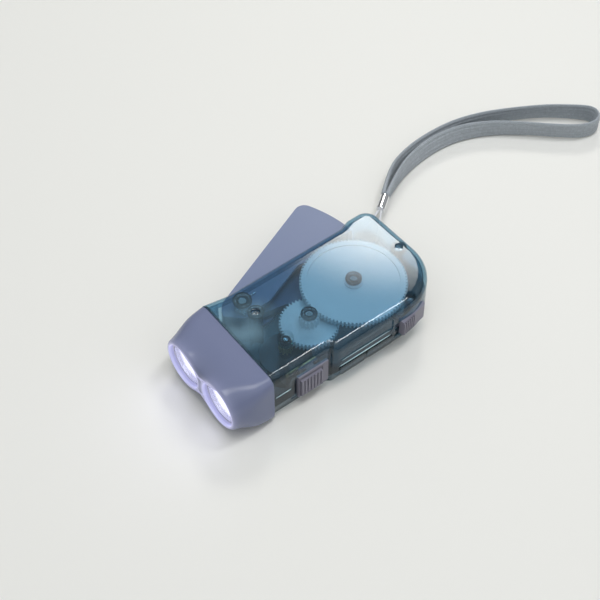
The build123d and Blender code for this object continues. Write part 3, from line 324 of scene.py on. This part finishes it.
def add_gloss(tree, under, roughness, index):
    """A mirror gloss by Fresnel over a shader node, on the outer side of each face, led to the output."""
    gloss = add_node(tree, "BsdfGlossy", Roughness=roughness)
    shine = add_node(tree, "Fresnel", IOR=index)
    faces_out = add_node(tree, "NewGeometry")
    outside = add_node(tree, "MapRange", To_Min=1.0, To_Max=0.0)
    outer_shine = add_node(tree, "Math", {"operation": "MULTIPLY"})
    coat = add_node(tree, "MixShader")
    join(tree, (faces_out, "Backfacing", outside, "Value"), (shine, "Fac", outer_shine, 0),
         (outside, "Result", outer_shine, 1), (outer_shine, "Value", coat, "Fac"), (under, 0, coat, 1),
         (gloss, "BSDF", coat, 2), (coat, "Shader", tree.nodes["Material Output"], "Surface"))


def tinted_clear(name, face_on, edge_on, body_color, haze_share, patches=()):
    """Clear plastic: a tint that deepens towards the edges, a little haze, and a mirror gloss by Fresnel.
    Light reaches what is inside more freely than the eye does. Each hazy patch has a middle, an inner
    and an outer radius, and the haze's extra share, which thins out between them."""
    material, tree = bare_material(name)
    slant = add_node(tree, "LayerWeight", Blend=0.30)
    depth = add_node(tree, "Mix", {"data_type": "RGBA"}, A=(*face_on, 1), B=(*edge_on, 1))
    rays = add_node(tree, "LightPath")
    let_in = add_node(tree, "Mix", {"data_type": "RGBA"}, B=(0.92, 0.96, 0.98, 1))
    through = add_node(tree, "BsdfTransparent")
    body = add_node(tree, "BsdfPrincipled", Base_Color=(*body_color, 1), Roughness=0.12)
    place = add_node(tree, "TexCoord")
    cloud = add_node(tree, "TexNoise", Scale=60.0)
    mist = add_node(tree, "MapRange", To_Min=haze_share * 0.8, To_Max=haze_share * 1.2)
    blotch = add_node(tree, "MapRange", From_Min=0.30, From_Max=0.65)
    haze = add_node(tree, "MixShader")
    join(tree, (slant, "Facing", depth, "Factor"), (depth, "Result", let_in, "A"),
         (rays, "Is Shadow Ray", let_in, "Factor"), (let_in, "Result", through, "Color"),
         (place, "Object", cloud, "Vector"), (cloud, "Fac", mist, "Value"), (cloud, "Fac", blotch, "Value"))
    hazy = (mist, "Result")
    for middle, inner, outer, share in patches:
        from_patch = add_node(tree, "VectorMath", {"operation": "DISTANCE"})
        from_patch.inputs[1].default_value = middle
        patch = add_node(tree, "MapRange", {"interpolation_type": "SMOOTHSTEP"},
                         From_Min=outer, From_Max=inner, To_Max=share)
        patch_haze = add_node(tree, "Math", {"operation": "MULTIPLY_ADD"})
        join(tree, (place, "Object", from_patch, 0), (from_patch, "Value", patch, "Value"),
             (patch, "Result", patch_haze, 0), (blotch, "Result", patch_haze, 1), (*hazy, patch_haze, 2))
        hazy = (patch_haze, "Value")
    join(tree, (*hazy, haze, "Fac"), (through, "BSDF", haze, 1), (body, "BSDF", haze, 2))
    add_gloss(tree, haze, roughness=0.06, index=1.55)
    return material


# Hazier, lighter patches of the top. The one over the large gear is a painted reflection of the window.
over_generator = ((0.0480, -0.0080, 0.0262), 0.0050, 0.0160, 0.38)
over_middle_gear = ((0.0300, 0.0060, 0.0262), 0.0040, 0.0130, 0.24)
window_sheen_over_large_gear = ((-0.0225, -0.0130, 0.0262), 0.0060, 0.0200, 0.18)
upper_blue = tinted_clear("upper_blue", face_on=(0.60, 0.77, 0.875), edge_on=(0.24, 0.40, 0.46),
                          body_color=(0.27, 0.46, 0.58), haze_share=0.045,
                          patches=[over_generator, over_middle_gear, window_sheen_over_large_gear])
lower_blue = tinted_clear("lower_blue", face_on=(0.25, 0.35, 0.41), edge_on=(0.15, 0.23, 0.27),
                          body_color=(0.12, 0.18, 0.22), haze_share=0.08)
dress(upper_blue, "upper_shell")
dress(lower_blue, "lower_shell")


# Bosses and screw wells: darker rings of the same clear plastic, moulded inside the case's top round the
# axles' ends and the screws. The eye looks down into more plastic there, and the rings' dark tint is also
# painted shade round the bosses and down the wells.
def ring_points(inner, outer, low, high, x, y, columns=40):
    """A closed tube of square section about a vertical line, as a grid: its section carried round."""
    turn = np.linspace(0, 2 * np.pi, columns, endpoint=False)[:, None]
    radius = np.array([inner, outer, outer, inner])[None]
    level = np.array([low, low, high, high])[None] + 0 * turn
    return np.stack([x + radius * np.cos(turn), y + radius * np.sin(turn), level], -1) / 1000


# Each ring's inner and outer radius, bottom and top height, and place in X and Y, in millimetres.
rings = {"boss_drive": (1.6, 3.4, 25.5, 26.5, 0, 0), "boss_mid": (1.6, 3.4, 25.5, 26.5, 25.54, 3.32),
         "boss_lever": (2.0, 4.0, 25.5, 26.4, 43.0, -18.5),
         "well_front": (1.9, 3.4, 25.5, 26.7, 42.3, -10.2),
         "well_tail": (1.9, 3.3, 25.5, 26.5, -25.1, -1.3),
         "well_side": (1.9, 2.3, 22.0, 24.8, -12.9, 21.1)}
# The dark tint of these rings and of the joint's band is partly painted shade.
thick_blue_and_shade = tinted_clear("thick_blue_and_shade", face_on=(0.30, 0.44, 0.52), edge_on=(0.08, 0.14, 0.18),
                          body_color=(0.05, 0.10, 0.13), haze_share=0.22)
for name, sizes in rings.items():
    ring = grid_piece(name, ring_points(*sizes), thick_blue_and_shade, along=True)
    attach(ring, "housing")


# Ledge and rim on the slider side: where the shells meet, and along the lower rim of the panel above, a
# fine round bead of pale plastic. Its pale colour is a painted highlight, the thin bright line that the
# ceiling's light draws along these edges.
def bead_points(start, end, y, z, radius, columns=16, rows=24):
    """A round bead along X that thins to nothing at both ends, as a grid."""
    along = np.linspace(0, 1, rows)[:, None]
    reach = radius * np.clip(np.sin(np.pi * along), 0, 1) ** 0.25
    turn = np.linspace(0, 2 * np.pi, columns, endpoint=False)[None]
    return np.stack([start + (end - start) * along + 0 * turn, y + reach * np.cos(turn),
                     z + reach * np.sin(turn)], -1) / 1000


# Each bead's start and end in X, its place in Y and Z, and its radius, in millimetres.
highlight_beads = {"ledge_bead": (-0.6, 26.4, 24.45, 13.5, 0.20), "panel_bead": (-0.6, 25.4, 24.2, 16.25, 0.11),
         "switch_ledge_bead": (48.2, 56.0, 21.25, 13.5, 0.14)}
# Painted highlight: the beads' pale colour stands in for the ceiling's light along the edges.
painted_highlight_edge = surface("painted_highlight_edge", (0.52, 0.74, 0.80), 0.18, Coat_Weight=0.5)[0]
for name, sizes in highlight_beads.items():
    bead = grid_piece(name, bead_points(*sizes), painted_highlight_edge, caps=True)
    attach(bead, "housing")


# Front edge of the case: a band of dark tint in the clear plastic along the joint with the head. It is
# painted shade of the joint, and in part the darker look of the wall where the eye looks along it.
case_middle, case_half, case_level = -2.9, 24.1, 13.5   # middle in Y, half the width, half the height
slope_in, slope_high = 1.8, 7.6                         # how far and how high the side slopes in below


def edge_points(rear, front, shallow, deep, corner=4.0, columns=96):
    """A closed band of square section along the joint: a rounded oblong in Y and Z whose slider side
    slopes in near the bottom, at two depths inside the case's outside."""
    turn = np.linspace(0, 2 * np.pi, columns, endpoint=False)[:, None]
    inside = np.array([deep, shallow, shallow, deep])[None]
    along = np.array([rear, rear, front, front])[None] + 0 * turn
    reach = corner - inside
    y = case_middle + np.sign(np.cos(turn)) * (case_half - corner) + reach * np.cos(turn)
    z = case_level + np.sign(np.sin(turn)) * (case_level - corner) + reach * np.sin(turn)
    y = y - np.where(y > 0, slope_in * np.clip(slope_high - z, 0, slope_high) / slope_high, 0)
    return np.stack([along, y, z], -1) / 1000


# The band's dark tint is painted shade along the joint.
joint_shade_band = grid_piece("joint_shade_band", edge_points(rear=56.25, front=56.95, shallow=0.25, deep=1.35),
                        thick_blue_and_shade, along=True)
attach(joint_shade_band, "housing")


# Squeeze lever: one moulding of opaque lavender grey plastic with a fine satin texture from the mould. It
# swings about its pin, between the shells.
def satin_plastic(name, color, darker, roughness):
    """Moulded plastic: a faint cloud of colour and a fine grain in the surface."""
    material, tree, shader = surface(name, color, roughness, Specular_IOR_Level=0.33)
    place = add_node(tree, "TexCoord")
    cloud = add_node(tree, "TexNoise", Scale=45.0)
    blend = add_node(tree, "Mix", {"data_type": "RGBA"}, A=(*color, 1), B=(*darker, 1))
    grain = add_node(tree, "TexNoise", Scale=2600.0, Detail=3.0)
    relief = add_node(tree, "Bump", Distance=0.00003, Strength=0.5)
    join(tree, (place, "Object", cloud, "Vector"), (place, "Object", grain, "Vector"),
         (cloud, "Fac", blend, "Factor"), (blend, "Result", shader, "Base Color"),
         (grain, "Fac", relief, "Height"), (relief, "Normal", shader, "Normal"))
    return material


lever_lavender = satin_plastic("lever_lavender", (0.165, 0.208, 0.340), (0.155, 0.196, 0.325), 0.34)
dress(lever_lavender, "squeeze_lever")


# Head: one opaque moulding in lavender grey that slides over the case's collar. Its skin runs from a
# rounded oblong at the case to two round mouths in front, which pinch in between the lamps.
head_rear, head_long, bulkhead, skin_wall = 57.0, 19.5, 6.5, 1.6
lamp_high, lobe_mid, lobe_reach, mouth = 13.9, -1.9, 11.7, 9.9
waist_fillet, waist_start, waist_power, front_roll, lip, lip_bend = 9.2, 5.0, 2.4, 1.3, 0.35, 0.10
# At each station ahead of the case: how far the skin comes in on the far and the near side, at the bottom
# and at the top, its corners' radius, and their power, where 2 is round.
stations = np.array([0.0, 6.5, 13.0, 19.5])
skin_table = np.array([[0, -1.2, 0, 0, 8.0, 4.0],
                       [0, -1.7, 0.2, 0.2, 9.5, 3.4],
                       [0.4, -1.7, 0.7, 0.4, 11.5, 2.8],
                       [1.7, -0.3, 2.2, 1.4, 11.7, 2.3]])
skin_curves = np.polyfit(stations, skin_table, 3)


def head_depth(ahead, y, z):
    """How far a point stands outside the head's skin, negative inside, in millimetres. Behind, the skin is
    an oblong whose sides, corners and fullness follow cubics in the distance ahead of the case. Towards
    the front it turns, faster and faster, into two discs round the lamps that a wide fillet joins."""
    powers = np.stack([ahead ** 3, ahead ** 2, ahead, np.ones_like(ahead)], -1)
    far, near, low, high, corner, power = np.moveaxis(powers @ skin_curves, -1, 0)
    half_y, half_z = case_half - (far + near) / 2, case_level - (low + high) / 2
    middle_y, middle_z = case_middle + (far - near) / 2, case_level + (low - high) / 2
    out_y, out_z = abs(y - middle_y) - half_y + corner, abs(z - middle_z) - half_z + corner
    past = (np.maximum(out_y, 1e-6) ** power + np.maximum(out_z, 1e-6) ** power) ** (1 / power)
    oblong = past + np.minimum(np.maximum(out_y, out_z), 0) - corner
    one = np.hypot(y - lobe_mid + lobe_reach, z - lamp_high) - lobe_reach
    other = np.hypot(y - lobe_mid - lobe_reach, z - lamp_high) - lobe_reach
    near_both = np.maximum(waist_fillet - abs(one - other), 0) / waist_fillet
    lobes = np.minimum(one, other) - near_both ** 2 * waist_fillet / 4
    share = np.clip((ahead - waist_start) / (head_long - waist_start), 0, 1) ** waist_power
    return oblong * (1 - share) + lobes * share


def skin_reach(ahead, y, turn_y, turn_z, inset, longest=40.0, halvings=26):
    """How far a ray from a point at the lamps' height goes before it is an inset inside the skin, found by
    halving the range again and again."""
    size = np.broadcast(ahead, turn_y).shape
    short, long = np.zeros(size), np.full(size, longest)
    for _ in range(halvings):
        half = (short + long) / 2
        inside = head_depth(ahead + 0 * half, y + half * turn_y, lamp_high + half * turn_z) < -inset
        short, long = np.where(inside, half, short), np.where(inside, long, half)
    return short


def head_rings(ahead, inset, side, columns, closed):
    """Rings round one lamp's half of the head: angles from the top of the middle plane round the outside
    to its bottom, and if closed back up along the middle plane. Each point lies where its ray meets the
    skin or that plane."""
    rise = skin_reach(ahead, lobe_mid, 0.0 * ahead, 1.0, inset)
    fall = skin_reach(ahead, lobe_mid, 0.0 * ahead, -1.0, inset)
    top, low = np.arctan2(rise, lobe_reach), -np.arctan2(fall, lobe_reach)
    share = np.linspace(0, 1, columns)[None]
    turn = top[:, None] * (1 - share) + (2 * np.pi + low)[:, None] * share
    span = skin_reach(ahead[:, None], lobe_mid - side * lobe_reach, side * np.cos(turn), np.sin(turn),
                      inset[:, None])
    if closed:
        share = np.linspace(0, 1, columns // 3)[None, 1:-1]
        back = low[:, None] * (1 - share) + top[:, None] * share
        turn, span = np.hstack([turn, back]), np.hstack([span, lobe_reach / np.cos(back)])
    return turn, span


def head_half(side, columns=140, rows=46):
    """One lamp's half of the head as two grids of points: the skin, from the bulkhead along the inside,
    round the grooved rear rim and over the outside to the rolled front edge, and the rest, from that edge
    over the front face and round the lip, down the mouth to the bulkhead."""
    middle = lobe_mid - side * lobe_reach
    bend = np.linspace(0, np.pi / 2, 8)[1:]
    inner_wall, groove, groove_depth = [bulkhead, 4.3, 2.1, 0], [0, 0.12, 0.45], [0.75, 0.30, 0]
    ahead = np.concatenate([inner_wall, groove, np.linspace(0.9, head_long - front_roll, rows),
                            head_long - front_roll * (1 - np.sin(bend))])
    inset = np.concatenate([np.full(len(inner_wall), skin_wall), groove_depth, np.zeros(rows),
                            front_roll * (1 - np.cos(bend))])
    turn, span = head_rings(ahead, inset, side, columns, False)
    skin = np.stack([head_rear + ahead[:, None] + 0 * turn, middle + side * span * np.cos(turn),
                     lamp_high + span * np.sin(turn)], -1)
    ends = np.array([head_long, bulkhead])
    turn, span = head_rings(ends, np.array([front_roll, skin_wall]), side, columns, True)
    ahead = np.array([head_long, head_long, head_long, head_long - lip_bend, head_long - lip,
                      (head_long + bulkhead) / 2, bulkhead, bulkhead])
    along = np.array([0, 0, 0, 0, 0, 0.5, 1, 1])[:, None]
    radius = np.array([0, 0, mouth + lip, mouth + lip_bend, mouth, mouth, mouth, 0])[:, None] + 0 * turn[:1]
    radius[0], radius[-1] = span
    radius[1] = (radius[0] + radius[2]) / 2
    turn = turn[:1] * (1 - along) + turn[1:] * along
    face = np.stack([head_rear + ahead[:, None] + 0 * turn, middle + side * radius * np.cos(turn),
                     lamp_high + radius * np.sin(turn)], -1)
    return skin, face


weld_gap, sharp_bend = 2e-6, 0.7
spots, faces, count = [], [], 0
for side in (1, -1):
    for grid, around in zip(head_half(side), (False, True)):
        n, m = grid.shape[:2]
        i, j = np.meshgrid(np.arange(n - 1), np.arange(m if around else m - 1), indexing="ij")
        next_j = (j + 1) % m
        quads = np.stack([i * m + j, (i + 1) * m + j, (i + 1) * m + next_j, i * m + next_j], -1)
        faces.append(count + quads.reshape(-1, 4))
        spots.append(grid.reshape(-1, 3) / 1000)
        count += n * m
head_mesh = bpy.data.meshes.new("head_skin")
head_mesh.from_pydata(np.concatenate(spots), [], np.concatenate(faces).tolist())
welded = bmesh.new()
welded.from_mesh(head_mesh)
bmesh.ops.remove_doubles(welded, verts=welded.verts, dist=weld_gap)
bmesh.ops.recalc_face_normals(welded, faces=welded.faces)
welded.to_mesh(head_mesh)
welded.free()
head_mesh.shade_smooth()
head_mesh.set_sharp_from_angle(angle=sharp_bend)

# Round the lit mouths light seeps into the plastic. It fades with the distance from a mouth's rim, both
# across the front and back along the skin.
fade_across, fade_back = 1.1, 2.0
spots = read_points(head_mesh) * 1000
behind = head_rear + head_long - spots[:, 0]
seep = np.zeros(len(spots))
for side in (1, -1):
    off_rim = np.hypot(spots[:, 1] - lobe_mid + side * lobe_reach, spots[:, 2] - lamp_high) - mouth
    seep = np.maximum(seep, np.exp(-np.maximum(off_rim, 0) / fade_across - behind / fade_back))
head_mesh.attributes.new("lamp_glow", "FLOAT", "POINT").data.foreach_set("value", seep)
lavender = satin_plastic("lavender", (0.180, 0.207, 0.330), (0.171, 0.197, 0.316), 0.19)
tree = lavender.node_tree
shader = set_sockets(tree.nodes["Principled BSDF"], Emission_Color=(0.60, 0.58, 0.86, 1))
near_lamp = add_node(tree, "Attribute", {"attribute_name": "lamp_glow"})
seeping = add_node(tree, "MapRange", To_Max=0.80)
join(tree, (near_lamp, "Fac", seeping, "Value"), (seeping, "Result", shader, "Emission Strength"))
head_mesh.materials.append(lavender)
head = bpy.data.objects.new("head_skin", head_mesh)
bpy.context.collection.objects.link(head)
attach(head, "housing")
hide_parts("head_cap")


# Sliders: the light switch and the lever's lock, two ribbed thumb pieces of the same plastic in a warmer
# mauve grey. Each snaps into its slot in the case's side.
mauve = satin_plastic("mauve", (0.240, 0.232, 0.290), (0.222, 0.215, 0.270), 0.36)
dress(mauve, "switch_slider", "lock_slider")


# Gears and clutch: white acetal, a little waxy, as moulded. They turn on fixed steel pins between the two
# shells.
white_gear = satin_plastic("white_gear", (0.78, 0.82, 0.84), (0.74, 0.78, 0.81), 0.42)
dress(white_gear, "big_gear", "mid_gear", "drive_pinion", "clutch_dog")


# Metal parts: turned pins and shaft, zinc plated screws, spring wire, pressed claws and flywheel, bushes
# dark with oil, a brass pinion and contact strips, and the coil of enamelled copper wire.
def metal(name, color, low, high, scale):
    """Bare metal whose roughness wanders between two values."""
    material, tree, shader = surface(name, color, low, Metallic=1.0)
    place = add_node(tree, "TexCoord")
    marks = add_node(tree, "TexNoise", Scale=scale)
    levels = add_node(tree, "MapRange", To_Min=low, To_Max=high)
    join(tree, (place, "Object", marks, "Vector"), (marks, "Fac", levels, "Value"),
         (levels, "Result", shader, "Roughness"))
    return material


dress(metal("bright_steel", (0.72, 0.72, 0.74), 0.15, 0.35, 700.0),
      "rotor_shaft", "lever_spring", "clutch_spring", "storage_cell")
dress(metal("zinc_plate", (0.42, 0.44, 0.46), 0.15, 0.30, 900.0), "case_screws")
dress(metal("oiled_steel", (0.30, 0.33, 0.35), 0.45, 0.6, 700.0), "lever_pin", "drive_axle", "mid_axle")
dress(metal("blackened_steel", (0.10, 0.10, 0.11), 0.35, 0.5, 700.0),
      "stator_claw_lower", "stator_claw_upper", "flywheel", "rotor_bush_upper", "rotor_bush_lower")
dress(metal("yellow_brass", (0.75, 0.56, 0.25), 0.2, 0.4, 600.0),
      "rotor_pinion", "slide_contact", "switch_contacts")
dress(metal("enamelled_copper", (0.55, 0.21, 0.08), 0.25, 0.45, 900.0), "coil_winding")


# Magnet, bobbin, boards and wires: a pressed ferrite ring on the rotor, black nylon mouldings, dark
# laminate boards and sleeved wires between the pieces that they join.
dress(satin_plastic("ferrite", (0.035, 0.035, 0.040), (0.025, 0.025, 0.028), 0.6), "ring_magnet")
dress(satin_plastic("black_nylon", (0.03, 0.03, 0.033), (0.02, 0.02, 0.022), 0.45),
      "coil_bobbin", "rectifier")
dress(satin_plastic("laminate", (0.045, 0.055, 0.05), (0.035, 0.045, 0.04), 0.6),
      "led_board", "switch_board")
dress(satin_plastic("dark_sleeve", (0.05, 0.06, 0.08), (0.04, 0.05, 0.07), 0.4),
      "coil_wires", "switch_wires")


# Lamps: a bowl of silvered plastic with a lit lamp of clear resin in its throat, behind a clear disc that
# is pressed into the head's mouth. The bowl has a painted glow, brightest deep in its throat, which stands
# in for the lamp's light mirrored there, and it mirrors faint ripples.
throat_end, glow_end = 0.0716, 0.0727
silvered, tree, shader = surface("silvered", (0.52, 0.53, 0.60), 0.16, Metallic=1.0,
                                 Emission_Color=(0.80, 0.79, 1.0, 1))
place = add_node(tree, "TexCoord")
throat = add_node(tree, "SeparateXYZ")
# Painted glow: emission in the bowl, strongest at the throat and fading towards the rim.
glow = add_node(tree, "MapRange", From_Min=throat_end, From_Max=glow_end, To_Min=1.3, To_Max=0.10)
ripple = add_node(tree, "TexNoise", Scale=350.0)
relief = add_node(tree, "Bump", Distance=0.0003, Strength=0.35)
join(tree, (place, "Object", throat, "Vector"), (throat, "X", glow, "Value"),
     (glow, "Result", shader, "Emission Strength"), (ripple, "Fac", relief, "Height"),
     (relief, "Normal", shader, "Normal"))
lit_resin = surface("lit_resin", (0.95, 0.96, 1.0), 0.1, Emission_Color=(0.93, 0.94, 1.0, 1),
                    Emission_Strength=3.5)[0]
clear_disc, tree = bare_material("clear_disc")
through = add_node(tree, "BsdfTransparent", Color=(0.96, 0.96, 0.99, 1))
add_gloss(tree, through, roughness=0.03, index=1.49)
dress(silvered, "reflector_far", "reflector_near")
dress(lit_resin, "led_far", "led_near")
dress(clear_disc, "lens_far", "lens_near")
